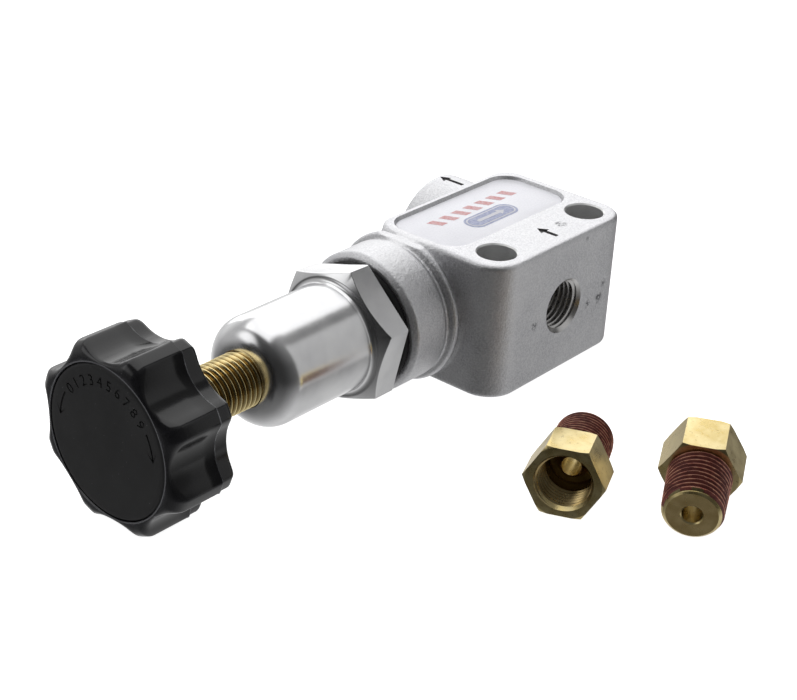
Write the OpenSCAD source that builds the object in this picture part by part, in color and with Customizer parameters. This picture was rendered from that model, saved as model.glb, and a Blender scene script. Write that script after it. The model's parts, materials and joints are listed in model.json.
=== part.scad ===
// Adjustable flow control (pressure proportioning) valve with its two loose port adapters.
// Millimetres. X runs along the valve's axis from the knob to the block, inlet on -Y, outlet on +Y.
// The origin is midway between the two mounting holes, on the block's bottom (mounting) face.

/* [Block] */
// Distance between the two mounting holes
hole_pitch = 25.4; // [25:0.1:26]
// Diameter of a mounting hole
hole_d = 6.8; // [6:0.1:7]
// Length of the block along the valve's axis
body_l = 37.3; // [37:0.1:39]
// Height of the block
body_h = 25; // [24.6:0.1:26]
// Distance from the holes' line to the inlet face
front_w = 5.8; // [5.5:0.1:7]
// Distance from the holes' line to the valve's axis
axis_y = 14.5; // [14.3:0.1:15]
// Distance from the valve's axis to the block's back face
back_w = 7.9; // [7.5:0.1:8.5]
// Corner radius at the inlet face
front_r = 5.6; // [4:0.1:6]
// Corner radius at the back face
back_r = 4; // [3:0.1:5]
// Depth of the label's pocket
pocket_d = 0.7; // [0.5:0.05:0.8]

/* [Bosses and ports] */
// Diameter of the round boss that takes the bonnet
boss_d = 25; // [24.6:0.1:25]
// Length of that boss
boss_l = 11.8; // [11:0.1:12]
// Chamfer on that boss's rim
boss_chamfer = 1.4; // [0.8:0.1:1.6]
// Diameter of the outlet boss
outlet_boss_d = 23.2; // [22:0.1:23.6]
// Distance from the valve's axis to the outlet boss's end
outlet_boss_l = 15.5; // [15.4:0.1:16.5]
// Inlet's offset from the middle of the block
inlet_x = 0.3; // [0:0.1:1]
// Outlet's offset from the middle of the block
outlet_x = 7.8; // [7.5:0.1:8.2]
// Wall diameter of each port's thread
port_d = 8.6; // [8.5:0.1:8.8]
// Depth of each port's thread
port_depth = 8.5; // [8:0.1:8.5]

/* [Bonnet and adjuster] */
// Hexagon's width across its flats
hex_af = 22; // [21.8:0.1:22.3]
// Thickness of the hexagon
hex_l = 5.5; // [5:0.1:6]
// Gap between the boss and the hexagon, filled by the seal
seal_w = 1.65; // [1.5:0.05:1.8]
// Diameter of the bonnet's barrel
barrel_d = 19; // [18.8:0.1:19.4]
// Length of the barrel in front of the hexagon
barrel_l = 21.1; // [20.5:0.1:22]
// Radius of the barrel's domed edge
dome_r = 4.5; // [3.5:0.1:4.5]
// Major diameter of the adjuster's thread
screw_d = 9.52; // [9.4:0.01:9.53]
// Pitch of the adjuster's thread
screw_pitch = 1.058; // [1:0.002:1.27]
// Thread that shows between the bonnet and the knob
screw_free = 15.6; // [14:0.1:17]

/* [Knob] */
// Diameter over the lobes
knob_d = 31.6; // [31.2:0.1:32]
// Diameter between the lobes
knob_valley_d = 26.6; // [26.4:0.1:27]
// Number of lobes
knob_lobes = 8; // [7:1:9]
// Thickness of the knob
knob_l = 12.4; // [12:0.1:12.8]
// Angle of the first lobe from +Y toward +Z
knob_turn = 20.1; // [18:0.1:22]
// Diameter of the cap in the knob's face
cap_d = 25; // [24.6:0.1:25.2]

/* [Adapters] */
// Adapter hexagon's width across its flats
adapter_af = 11.5; // [11.3:0.1:12.7]
// Length of the adapter's hexagon
adapter_hex_l = 7.5; // [7.2:0.1:9]
// Length of the adapter's male thread
adapter_thread_l = 9.8; // [9:0.1:10.4]
// Diameter of the male thread beside the hexagon
adapter_thread_d = 10.3; // [10.1:0.1:10.4]
// Where the first adapter lies along X and Y, measured on the floor from the block's far edge
inlet_adapter_at = [-48.6, -30.6];
// The way the first adapter's thread points
inlet_adapter_turn = 23.7; // [0:0.1:60]
// Where the second adapter lies along X and Y, measured in the same way
outlet_adapter_at = [-38.2, -47.4];
// The way the second adapter's thread points
outlet_adapter_turn = 206; // [180:0.1:240]

/* [Hidden] */

eps = 0.01;
round_fn = 72;
small_fn = 32;
axis_z = body_h / 2;

// Stations along the valve's axis
block_x = -body_l / 2;
boss_x = block_x - boss_l;
hex_x = boss_x - seal_w;
barrel_x = hex_x - hex_l;
nose_x = barrel_x - barrel_l;
knob_back_x = nose_x - screw_free;
knob_front_x = knob_back_x - knob_l;

// Main bore: a wide mouth for the bonnet, the seal bore, and the outlet chamber
mouth_r = 9.3;
mouth_end_x = -17.5;
seal_bore_r = 6.6;
seal_bore_end_x = 4.9;
chamber_r = 5.6;
chamber_end_x = 13.5;
spine_r = 10.8;
passage_r = 1.6;
port_mouth_r = 5.05;
port_chamfer = 0.8;
outlet_face_y = axis_y + outlet_boss_l;

// Label and its pocket
label_x = [-17.1, 16.4];
label_y = [axis_y - 8.9, axis_y + 6.3];
label_r = 4;
label_gap = 0.15;
label_t = 0.2;

// Bonnet
shank_r = 9.25;
shank_end_x = -18.4;
spring_room_r = 7.4;
nose_t = 5.5;
running = 0.04;
hex_bevel = 30;
hex_turn = 12.6;
hex_face_r = hex_af / 2 - 0.2;
hex_corner_r = hex_af / sqrt(3);
hex_cone_r = hex_corner_r + 1;
hex_bevel_l = (hex_cone_r - hex_face_r) * tan(hex_bevel);

// Adjuster screw, with a plain tip that carries the clip and bears on the ball
screw_r = screw_d / 2;
thread_depth = 0.6 * screw_pitch;
tooth = [[0.1, 0], [0.5, thread_depth], [0.9, 0]];
thread_end_x = nose_x + nose_t + 2.3;
tip_r = 3.2;
tip_end_x = thread_end_x + 4.9;
clip_x = thread_end_x + 0.7;
clip_t = 0.8;
clip_groove_r = 2.4;
clip_r = 6.2;
clip_gap = 3.2;
ball_r = 2;
ball_x = tip_end_x + 0.85;

// Spring seat on the ball and the spring
seat_plate_x = ball_x + 0.95;
seat_plate_t = 1.2;
seat_r = 6.8;
seat_hub_r = 3.4;
seat_hub_x = ball_x - 0.2;
pilot_r = 3.9;
pilot_l = 2.5;
pocket_clear = 0.02;
spring_wire_r = 0.8;
spring_mean_r = 5.6;
spring_turns = 5.5;
spring_start_x = seat_plate_x + seat_plate_t;

// Piston
rod_r = 3;
piston_shoulder_x = -21;
piston_seat_t = 1.2;
piston_seat_x = piston_shoulder_x - piston_seat_t;
piston_groove_r = 1.9;
piston_clip_t = 0.8;
piston_clip_r = 4.2;
piston_clip_gap = 2.4;
nose_rod_r = 2.5;
piston_start_x = -24.3;
waist_x = 1.6;
waist_r = 2.2;
head_x = 6.5;
head_t = 2;
head_r = 3.9;
piston_end_x = 13.4;

// Parts stacked in the seal bore
bushing_end_x = -7.5;
bushing_r = 6.55;
bushing_flange_r = 9.1;
sleeve_in_r = 5.5;
washer_in_r = 3.6;
metering_in_r = 2.9;
inner_seal_x = -10.2;
inner_seal_r = 4.9;
outer_seal_x = -13;
outer_seal_w = 2;
outer_seal_r = 5.3;
backup_t = 0.9;
seal_washer_t = 0.8;
metering_t = 1.7;

// Knob
lobe_pitch = 360 / knob_lobes;
scallop_r = 7;
scallop_at = knob_valley_d / 2 + scallop_r;
knob_edge_r = 1.6;
knob_face_r = 2.4;
cap_t = 1.2;
part_gap = 0.05;
insert_l = 8.7;
back_groove = [7.5, 11, 2.5];

// The surface that the valve lies on touches one knob lobe and the block's far lower edge
knob_low_angle = 14.7;
knob_low_r = knob_d / 2 * cos(knob_low_angle);
knob_touch_x = knob_back_x - knob_edge_r;
floor_tilt = atan((knob_low_r - axis_z) / (body_l / 2 - knob_touch_x));

// Adapter: the thread's end touches down, so the hexagon's far edge lifts a little
thread_taper = 1.79;
tip_chamfer = 0.8;
adapter_tip_l = adapter_thread_l - tip_chamfer;
adapter_tip_r = adapter_thread_d / 2 - adapter_tip_l * tan(thread_taper);
adapter_tip_angle = atan((adapter_af / 2 - adapter_tip_r) / adapter_tip_l);
socket_r = 4.35;
socket_thread_l = 6.2;
socket_depth = 8.6;
seat_room_r = 4.1;
seat_cone_l = 2.4;
seat_cone_r = 2.9;
seat_cone_tip_r = 1.7;
adapter_hole_r = 1.6;

function arc(x, y, r, from, to, n) =
    [for (i = [0 : n]) let (a = from + (to - from) * i / n) [x + r * cos(a), y + r * sin(a)]];

// A turned piece on the valve's axis, from an outline of [radius, x] points
module turned(outline) {
    translate([0, axis_y, axis_z]) rotate([0, 90, 0])
        rotate_extrude($fn = round_fn) polygon(outline);
}

// A ring on the valve's axis
module ring(r_in, r_out, x, length) {
    turned([[r_in, x], [r_out, x], [r_out, x + length], [r_in, x + length]]);
}

// A block with round upright edges, r_low at its -Y side and r_high at its +Y side
module round_slab(x, y, z, r_low, r_high) {
    h = z[1] - z[0];
    translate([x[0], y[0] + r_low, z[0]]) cube([x[1] - x[0], y[1] - y[0] - r_low - r_high, h]);
    translate([x[0] + r_low, y[0], z[0]]) cube([x[1] - x[0] - 2 * r_low, r_low + 1, h]);
    translate([x[0] + r_high, y[1] - r_high - 1, z[0]]) cube([x[1] - x[0] - 2 * r_high, r_high + 1, h]);
    for (side = [0, 1]) {
        low = x[side] + (side == 0 ? r_low : -r_low);
        high = x[side] + (side == 0 ? r_high : -r_high);
        translate([low, y[0] + r_low, z[0]]) cylinder(r = r_low, h = h, $fn = round_fn);
        translate([high, y[1] - r_high, z[0]]) cylinder(r = r_high, h = h, $fn = round_fn);
    }
}

// A tapped port drilled along Y from a face at y = face, into the block; way is 1 toward +Y
module port(x, face, way) {
    translate([x, face, axis_z]) rotate([-90 * way, 0, 0]) {
        translate([0, 0, -eps]) cylinder(d = port_d, h = port_depth + eps, $fn = round_fn);
        translate([0, 0, -eps]) cylinder(r1 = port_mouth_r, r2 = port_d / 2, h = port_chamfer, $fn = round_fn);
        translate([0, 0, port_depth - eps]) cylinder(r = passage_r, h = port_depth, $fn = small_fn);
    }
}

module valve_body() {
    color("silver") difference() {
        union() {
            round_slab([block_x, -block_x], [-front_w, axis_y + back_w], [0, body_h], front_r, back_r);
            turned([[0, block_x], [boss_d / 2, block_x], [boss_d / 2, boss_x + boss_chamfer],
                    [boss_d / 2 - boss_chamfer, boss_x], [0, boss_x]]);
            turned([[0, block_x + 1], [spine_r, block_x + 1], [spine_r, -block_x - 1], [0, -block_x - 1]]);
            translate([outlet_x, axis_y, axis_z]) rotate([-90, 0, 0])
                cylinder(d = outlet_boss_d, h = outlet_boss_l, $fn = round_fn);
        }
        turned([[0, boss_x - eps], [mouth_r, boss_x - eps], [mouth_r, mouth_end_x],
                [seal_bore_r, mouth_end_x], [seal_bore_r, seal_bore_end_x],
                [chamber_r, seal_bore_end_x], [chamber_r, chamber_end_x], [0, chamber_end_x]]);
        for (side = [-1, 1]) translate([side * hole_pitch / 2, 0, -1])
            cylinder(d = hole_d, h = body_h + 2, $fn = round_fn);
        port(inlet_x, -front_w, 1);
        port(outlet_x, outlet_face_y, -1);
        round_slab(label_x, label_y, [body_h - pocket_d, body_h + 1], label_r, label_r);
    }
}

module label_plate() {
    inset = [label_gap, -label_gap];
    color("lavender")
        round_slab(label_x + inset, label_y + inset,
                   [body_h - pocket_d, body_h - pocket_d + label_t], label_r - label_gap, label_r - label_gap);
}

// Hexagon with a 30 degree bevel on its knob side, hollow barrel with a domed edge, and plain shank
module bonnet() {
    color("gainsboro") difference() {
        union() {
            intersection() {
                translate([barrel_x, axis_y, axis_z]) rotate([0, 90, 0]) rotate([0, 0, hex_turn])
                    cylinder(r = hex_corner_r, h = hex_l, $fn = 6);
                turned([[0, barrel_x], [hex_face_r, barrel_x], [hex_cone_r, barrel_x + hex_bevel_l],
                        [hex_cone_r, hex_x], [0, hex_x]]);
            }
            turned(concat([[0, nose_x]], arc(barrel_d / 2 - dome_r, nose_x + dome_r, dome_r, -90, 0, 8),
                          [[barrel_d / 2, barrel_x + 1], [0, barrel_x + 1]]));
            turned([[0, hex_x - 1], [shank_r, hex_x - 1], [shank_r, shank_end_x], [0, shank_end_x]]);
        }
        turned([[0, nose_x + nose_t], [spring_room_r, nose_x + nose_t],
                [spring_room_r, shank_end_x + 1], [0, shank_end_x + 1]]);
        turned([[0, nose_x - 1], [screw_r + running, nose_x - 1], [screw_r + running, nose_x + nose_t + 1],
                [0, nose_x + nose_t + 1]]);
    }
}

module bonnet_seal() {
    color("black") ring(shank_r + 0.02, boss_d / 2 - boss_chamfer - 0.3, hex_x, seal_w);
}

// Brass screw; its thread is drawn as rings of the real pitch and depth
module adjuster_screw() {
    start = knob_back_x - insert_l;
    turns = floor((thread_end_x - knob_back_x) / screw_pitch);
    teeth = [for (i = [0 : turns - 1], p = tooth)
             [screw_r - p[1], knob_back_x + (i + p[0]) * screw_pitch]];
    color("goldenrod") difference() {
        turned(concat([[0, start], [screw_r, start]], teeth, [[screw_r, thread_end_x],
                      [tip_r, thread_end_x], [tip_r, clip_x], [clip_groove_r, clip_x],
                      [clip_groove_r, clip_x + clip_t], [tip_r, clip_x + clip_t],
                      [tip_r, tip_end_x], [0, tip_end_x]]));
        ring(0, ball_r + part_gap, ball_x - ball_r - part_gap, ball_r + 1);
    }
}

// Lobed knob: scallops cut round a disc, with rounded edges front and back
module knob() {
    tip = knob_d / 2;
    color("dimgray") difference() {
        turned(concat([[0, knob_front_x], [cap_d / 2 + 0.4, knob_front_x]],
                      arc(tip - knob_face_r, knob_front_x + knob_face_r, knob_face_r, -60, 0, 4),
                      arc(tip - knob_edge_r, knob_back_x - knob_edge_r, knob_edge_r, 0, 90, 4),
                      [[0, knob_back_x]]));
        for (i = [0 : knob_lobes - 1])
            translate([knob_front_x - 1, axis_y, axis_z]) rotate([knob_turn + (i + 0.5) * lobe_pitch, 0, 0])
                translate([0, scallop_at, 0]) rotate([0, 90, 0])
                cylinder(r = scallop_r, h = knob_l + 2, $fn = round_fn);
        ring(0, cap_d / 2 + part_gap, knob_front_x - 1, cap_t + 1);
        ring(0, screw_r, knob_back_x - insert_l, insert_l + 1);
        ring(back_groove[0], back_groove[1], knob_back_x - back_groove[2], back_groove[2] + 1);
    }
}

module knob_cap() {
    color("dimgray") ring(0, cap_d / 2, knob_front_x, cap_t);
}

// Open ring that stops the screw from backing out of the bonnet
module screw_clip() {
    color("gray") difference() {
        ring(clip_groove_r, clip_r, clip_x, clip_t);
        translate([clip_x - 1, axis_y - clip_gap / 2, axis_z]) cube([clip_t + 2, clip_gap, clip_r + 1]);
    }
}

module thrust_ball() {
    color("lightgray") translate([ball_x, axis_y, axis_z]) sphere(r = ball_r, $fn = round_fn);
}

module spring_seat() {
    pilot_end_x = spring_start_x + pilot_l;
    room_r = ball_r + pocket_clear;
    color("tan") difference() {
        turned([[0, seat_hub_x], [seat_hub_r, seat_hub_x], [seat_hub_r, seat_plate_x],
                [seat_r, seat_plate_x], [seat_r, spring_start_x], [pilot_r, spring_start_x],
                [pilot_r - 0.5, pilot_end_x], [0, pilot_end_x]]);
        turned([[0, seat_hub_x - 1], [room_r, seat_hub_x - 1], [room_r, ball_x + room_r],
                [0, ball_x + room_r]]);
    }
}

// Coil spring swept round the axis, with closed end turns
module main_spring() {
    start = spring_start_x + spring_wire_r;
    end = piston_shoulder_x - piston_seat_t - spring_wire_r;
    steps = 15;
    sides = 8;
    n = floor(spring_turns * steps);
    lead = 0.75 * steps;
    climb = end - start - 4 * spring_wire_r;
    function rise(i) = 2 * spring_wire_r * (min(i, lead) + max(0, i - n + lead)) / lead
        + climb * max(0, min(i - lead, n - 2 * lead)) / (n - 2 * lead);
    points = [for (i = [0 : n], j = [0 : sides - 1])
        let (a = i * 360 / steps, b = j * 360 / sides, r = spring_mean_r + spring_wire_r * cos(b))
        [start + rise(i) + spring_wire_r * sin(b), axis_y + r * cos(a), axis_z + r * sin(a)]];
    walls = [for (i = [0 : n - 1], j = [0 : sides - 1]) let (k = (j + 1) % sides)
        [i * sides + j, (i + 1) * sides + j, (i + 1) * sides + k, i * sides + k]];
    color("darkgray") polyhedron(points, concat(walls, [[for (j = [0 : sides - 1]) j]],
        [[for (j = [sides - 1 : -1 : 0]) n * sides + j]]));
}

module piston() {
    groove_x = piston_seat_x - piston_clip_t;
    color("slategray")
        turned([[0, piston_start_x], [nose_rod_r, piston_start_x], [nose_rod_r, groove_x],
                [piston_groove_r, groove_x], [piston_groove_r, piston_seat_x],
                [nose_rod_r, piston_seat_x], [nose_rod_r, piston_shoulder_x],
                [rod_r, piston_shoulder_x], [rod_r, waist_x], [waist_r, waist_x], [waist_r, head_x],
                [head_r, head_x], [head_r, head_x + head_t], [waist_r, head_x + head_t],
                [waist_r, piston_end_x], [0, piston_end_x]]);
}

module piston_spring_seat() {
    color("tan") ring(nose_rod_r, seat_r, piston_seat_x, piston_seat_t);
}

module piston_clip() {
    color("gray") difference() {
        ring(piston_groove_r, piston_clip_r, piston_seat_x - piston_clip_t, piston_clip_t);
        translate([piston_seat_x - 2, axis_y - piston_clip_gap / 2, axis_z])
            cube([3, piston_clip_gap, piston_clip_r + 1]);
    }
}

module guide_bushing() {
    color("khaki")
        turned([[rod_r + running, shank_end_x], [bushing_flange_r, shank_end_x],
                [bushing_flange_r, mouth_end_x], [bushing_r, mouth_end_x], [bushing_r, outer_seal_x],
                [outer_seal_r, outer_seal_x], [outer_seal_r, outer_seal_x + outer_seal_w],
                [bushing_r, outer_seal_x + outer_seal_w], [bushing_r, bushing_end_x],
                [inner_seal_r, bushing_end_x], [inner_seal_r, inner_seal_x], [rod_r + running, inner_seal_x]]);
}

module bushing_seal() {
    color("black") ring(outer_seal_r, seal_bore_r, outer_seal_x, outer_seal_w);
}

module backup_ring() {
    color("white") ring(rod_r + 2 * running, inner_seal_r, inner_seal_x, backup_t);
}

module piston_seal() {
    x = inner_seal_x + backup_t;
    color("black") ring(rod_r + running, inner_seal_r, x, bushing_end_x - x);
}

// Sleeve that holds the metering seal against its shoulder, with a flow hole facing the inlet
module spacer_sleeve() {
    length = seal_bore_end_x - metering_t - seal_washer_t - bushing_end_x;
    color("khaki") difference() {
        ring(sleeve_in_r, bushing_r, bushing_end_x, length);
        translate([inlet_x, axis_y, axis_z]) rotate([90, 0, 0]) cylinder(r = passage_r, h = 9, $fn = small_fn);
    }
}

module seal_washer() {
    color("gray") ring(washer_in_r, bushing_r, seal_bore_end_x - metering_t - seal_washer_t, seal_washer_t);
}

module metering_seal() {
    color("black") ring(metering_in_r, seal_bore_r, seal_bore_end_x - metering_t, metering_t);
}

// Loose adapter: female tube socket with a flare seat in a hexagon, tapered male thread
module adapter(at, turn) {
    tip_r = adapter_thread_d / 2 - adapter_thread_l * tan(thread_taper);
    seat_x = socket_depth - adapter_hex_l;
    color("goldenrod")
        translate([body_l / 2, 0, 0]) rotate([0, -floor_tilt, 0])
        translate([at[0], at[1], adapter_af / 2 * cos(adapter_tip_angle)])
        rotate([0, 0, turn]) rotate([0, adapter_tip_angle, 0]) rotate([0, 90, 0]) difference() {
            union() {
                translate([0, 0, -adapter_hex_l]) rotate([0, 0, 30])
                    cylinder(d = adapter_af / cos(30), h = adapter_hex_l, $fn = 6);
                rotate_extrude($fn = round_fn)
                    polygon([[0, -1], [adapter_thread_d / 2 - 0.3, -1], [adapter_thread_d / 2, 0],
                             [adapter_tip_r, adapter_tip_l], [tip_r - tip_chamfer, adapter_thread_l],
                             [0, adapter_thread_l]]);
            }
            difference() {
                translate([0, 0, -adapter_hex_l - eps]) {
                    cylinder(r = socket_r, h = socket_thread_l + eps, $fn = round_fn);
                    cylinder(r = seat_room_r, h = socket_depth + eps, $fn = round_fn);
                }
                translate([0, 0, seat_x - seat_cone_l])
                    cylinder(r1 = seat_cone_tip_r, r2 = seat_cone_r, h = seat_cone_l + eps, $fn = round_fn);
            }
            translate([0, 0, -adapter_hex_l]) cylinder(r = adapter_hole_r, h = 30, $fn = small_fn);
        }
}

module inlet_adapter() { adapter(inlet_adapter_at, inlet_adapter_turn); }

module outlet_adapter() { adapter(outlet_adapter_at, outlet_adapter_turn); }

valve_body();
label_plate();
bonnet();
bonnet_seal();
adjuster_screw();
knob();
knob_cap();
screw_clip();
thrust_ball();
spring_seat();
main_spring();
piston();
piston_spring_seat();
piston_clip();
guide_bushing();
bushing_seal();
piston_seal();
backup_ring();
spacer_sleeve();
seal_washer();
metering_seal();
inlet_adapter();
outlet_adapter();
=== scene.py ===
"""The looks of an adjustable flow control valve and its two loose port adapters.

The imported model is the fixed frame: its nodes' boxes and its mounts give the places of the pieces.
Lengths are in millimetres until a mesh is made, where MM turns them into metres. The valve's axis runs
along X, from the knob (low X) to the block (high X).
"""

import json
import math

import bmesh
import bpy
import numpy as np
import openvdb
from mathutils import Matrix, Vector


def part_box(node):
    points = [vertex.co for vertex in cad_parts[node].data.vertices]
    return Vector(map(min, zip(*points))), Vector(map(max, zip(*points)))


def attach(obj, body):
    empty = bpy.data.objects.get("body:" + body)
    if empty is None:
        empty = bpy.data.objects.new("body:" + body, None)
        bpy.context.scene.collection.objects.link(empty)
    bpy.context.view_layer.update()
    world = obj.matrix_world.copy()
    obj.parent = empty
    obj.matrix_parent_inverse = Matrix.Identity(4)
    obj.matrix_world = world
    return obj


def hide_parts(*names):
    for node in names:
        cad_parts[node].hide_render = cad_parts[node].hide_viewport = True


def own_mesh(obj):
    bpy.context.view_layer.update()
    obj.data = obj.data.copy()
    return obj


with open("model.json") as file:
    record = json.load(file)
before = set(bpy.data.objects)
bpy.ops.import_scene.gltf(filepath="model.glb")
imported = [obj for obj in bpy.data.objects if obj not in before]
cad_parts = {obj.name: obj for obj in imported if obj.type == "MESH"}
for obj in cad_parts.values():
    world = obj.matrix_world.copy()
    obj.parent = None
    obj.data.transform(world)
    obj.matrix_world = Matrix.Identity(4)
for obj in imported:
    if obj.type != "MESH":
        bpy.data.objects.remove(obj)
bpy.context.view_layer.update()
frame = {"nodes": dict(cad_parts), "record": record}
MM = 0.001


def box_mm(node):
    """A CAD node's lowest and highest corners in millimetres."""
    low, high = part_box(node)
    return np.array(low) / MM, np.array(high) / MM


def mount_mm(name):
    """A mount's place in millimetres and its direction out of the part."""
    mount = next(m for m in frame["record"]["mounts"] if m["name"] == name)
    return np.array(mount["pos_m"]) / MM, np.array(mount["axis"], float)


# ---------------------------------------------------------------------------------------------------------
# Places in the frame

body_low, body_high = box_mm("valve_body")
seal_low, seal_high = box_mm("bonnet_seal")
bonnet_low, bonnet_high = box_mm("bonnet")
knob_low, knob_high = box_mm("knob")
cap_low, cap_high = box_mm("knob_cap")
screw_low, screw_high = box_mm("adjuster_screw")
label_low, label_high = box_mm("label_plate")
AXIS_Y, AXIS_Z = (seal_low + seal_high)[1:] / 2

BLOCK_HALF = 37.3 / 2  # half the block's length along X
BLOCK_H = body_high[2]
BOSS_X = body_low[0]
FRONT_Y = body_low[1]
OUTLET_Y = body_high[1]
HEX_X = seal_low[0]
HOLE_PITCH = 25.4
HOLE_R = 3.4
PARTING = 3.1  # from the knob's back to its mould line
INLET_X = mount_mm("inlet_port")[0][0]
OUTLET_X = mount_mm("outlet_port")[0][0]


# ---------------------------------------------------------------------------------------------------------
# Mesh helpers

def solid(name, points, faces, material):
    """A mesh object from points in millimetres."""
    mesh = bpy.data.meshes.new(name)
    mesh.from_pydata((np.asarray(points) * MM).tolist(), [], faces)
    mesh.materials.append(material)
    obj = bpy.data.objects.new(name, mesh)
    bpy.context.scene.collection.objects.link(obj)
    return obj


def grid_faces(rows, columns, wrap_rows=False):
    """Quads of a grid whose columns close on themselves; the rows close too where wrap_rows is true."""
    last = rows if wrap_rows else rows - 1
    return [(i * columns + j, i * columns + (j + 1) % columns,
             (i + 1) % rows * columns + (j + 1) % columns, (i + 1) % rows * columns + j)
            for i in range(last) for j in range(columns)]


def outward(obj):
    """Turns a closed mesh's faces outward."""
    mesh = obj.data
    mesh.calc_loop_triangles()
    co = np.empty(len(mesh.vertices) * 3)
    mesh.vertices.foreach_get("co", co)
    co = co.reshape(-1, 3)
    tri = np.empty(len(mesh.loop_triangles) * 3, np.int32)
    mesh.loop_triangles.foreach_get("vertices", tri)
    a, b, c = co[tri.reshape(-1, 3)].transpose(1, 0, 2)
    if np.einsum("ij,ij->i", a, np.cross(b, c)).sum() < 0:
        mesh.flip_normals()
    return obj


def turned(name, outline, material, sides=96, wrap=False):
    """A solid turned about the local X axis from (x, radius) points.

    With wrap the outline is a closed loop off the axis; otherwise its ends are closed with flat discs.
    """
    x, r = np.array(outline, float)[:, :, None].transpose(1, 0, 2)
    angle = np.arange(sides) * 2 * math.pi / sides
    points = np.stack([x + 0 * angle, r * np.cos(angle), r * np.sin(angle)], -1)
    faces = grid_faces(len(x), sides, wrap)
    if not wrap:
        faces += [tuple(range(sides))[::-1], tuple((len(x) - 1) * sides + j for j in range(sides))]
    return outward(solid(name, points.reshape(-1, 3), faces, material))


def prism(name, outline, low, high, material, top=None):
    """An outline of (x, y) points drawn out along local Z; top is a second outline where its top differs."""
    points = [(x, y, low) for x, y in outline] + [(x, y, high) for x, y in top or outline]
    n = len(outline)
    faces = [(i, (i + 1) % n, n + (i + 1) % n, n + i) for i in range(n)]
    faces += [tuple(range(n))[::-1], tuple(range(n, 2 * n))]
    return outward(solid(name, points, faces, material))


def arc(x, y, r, start, end, steps):
    """Points on an arc, angles in degrees."""
    return [(x + r * math.cos(math.radians(a)), y + r * math.sin(math.radians(a)))
            for a in np.linspace(start, end, steps + 1)]


def rounded_box(low, high, r):
    """A rounded rectangle's outline between two corners."""
    (x0, y0), (x1, y1) = low, high
    steps = 10
    return (arc(x1 - r, y1 - r, r, 0, 90, steps) + arc(x0 + r, y1 - r, r, 90, 180, steps)
            + arc(x0 + r, y0 + r, r, 180, 270, steps) + arc(x1 - r, y0 + r, r, 270, 360, steps))


def bake(obj):
    """Applies an object's modifiers to its mesh."""
    graph = bpy.context.evaluated_depsgraph_get()
    mesh = bpy.data.meshes.new_from_object(obj.evaluated_get(graph))
    obj.modifiers.clear()
    obj.data = mesh
    return obj


def combine(obj, tool, operation="DIFFERENCE", solver="MANIFOLD"):
    """Cuts obj with tool, joins them or keeps what they share, and removes the tool."""
    step = obj.modifiers.new("combine", "BOOLEAN")
    step.operation = operation
    step.solver = solver
    step.material_mode = "TRANSFER"
    step.object = tool
    bake(obj)
    bpy.data.objects.remove(tool)
    return obj


def bevel(obj, width, angle=30):
    """Rounds an object's sharp edges by width millimetres."""
    step = obj.modifiers.new("bevel", "BEVEL")
    step.width = width * MM
    step.segments = 2
    step.limit_method = "ANGLE"
    step.angle_limit = math.radians(angle)
    return bake(obj)


def moved(obj, place):
    """Moves an object's mesh by a matrix in millimetres."""
    matrix = place.copy()
    matrix.translation = matrix.translation * MM
    obj.data.transform(matrix)
    return obj


def on_axis(obj):
    """Moves a piece made about the X axis onto the valve's axis."""
    return moved(obj, Matrix.Translation((0, AXIS_Y, AXIS_Z)))


def finished(obj, body, slot, *nodes, angle=32):
    """Smooths a piece, keeping edges sharper than angle, parents it to its body's empty and hides the CAD
    nodes it replaces.
    """
    obj.data.shade_smooth()
    obj.data.set_sharp_from_angle(angle=math.radians(angle))
    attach(obj, body)
    if nodes:
        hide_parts(*nodes)
    return obj


# A thread's tooth: share of the pitch, and how far below the crest as a share of the depth
TOOTH = ((0.0, 1.0), (0.07, 0.97), (0.13, 0.82), (0.39, 0.16), (0.45, 0.03), (0.5, 0.0), (0.55, 0.03),
         (0.61, 0.16), (0.87, 0.82), (0.93, 0.97))


def threaded(name, start, end, wall, pitch, depth, material, sides=96):
    """A threaded rod along X whose rows follow the helix, so that its crests stay crisp.

    wall is its crest radius, a number or a function of x. It runs a pitch past both ends, for trimming.
    """
    turns = int((end - start) / pitch) + 3
    phase = np.array([turn + at for turn in range(turns) for at, _ in TOOTH] + [turns])
    sink = np.array([depth * fall for _ in range(turns) for _, fall in TOOTH] + [depth * TOOTH[0][1]])
    part = np.arange(sides) / sides
    x = start - 1.5 * pitch + pitch * (phase[:, None] + part[None, :])
    r = (wall(x) if callable(wall) else wall) - sink[:, None]
    angle = 2 * math.pi * part
    points = np.stack([x, r * np.cos(angle), r * np.sin(angle)], -1).reshape(-1, 3)
    rows, step = len(phase), len(TOOTH)
    faces = [(i * sides + j, i * sides + j + 1, (i + 1) * sides + j + 1, (i + 1) * sides + j)
             for i in range(rows - 1) for j in range(sides - 1)]
    seam = sides - 1
    faces += [(i * sides + seam, (i + step) * sides, (i + step + 1) * sides, (i + 1) * sides + seam)
              for i in range(rows - 1 - step)]
    first = list(range(sides)) + [i * sides for i in range(step, 0, -1)]
    tail = rows - 1
    last = [tail * sides + j for j in range(sides)]
    last += [i * sides + seam for i in range(tail - 1, tail - step - 1, -1)]
    centre = len(points)
    points = np.vstack([points, [[x[0, 0] - pitch, 0, 0], [x[-1, -1] + pitch, 0, 0]]])
    faces += [(first[k], first[(k + 1) % len(first)], centre) for k in range(len(first))]
    faces += [(last[k], last[(k + 1) % len(last)], centre + 1) for k in range(len(last))]
    rod = solid(name, points, faces, material)
    tidy = bmesh.new()
    tidy.from_mesh(rod.data)
    bmesh.ops.recalc_face_normals(tidy, faces=tidy.faces)
    tidy.to_mesh(rod.data)
    tidy.free()
    return outward(rod)


# ---------------------------------------------------------------------------------------------------------
# Materials

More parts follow.
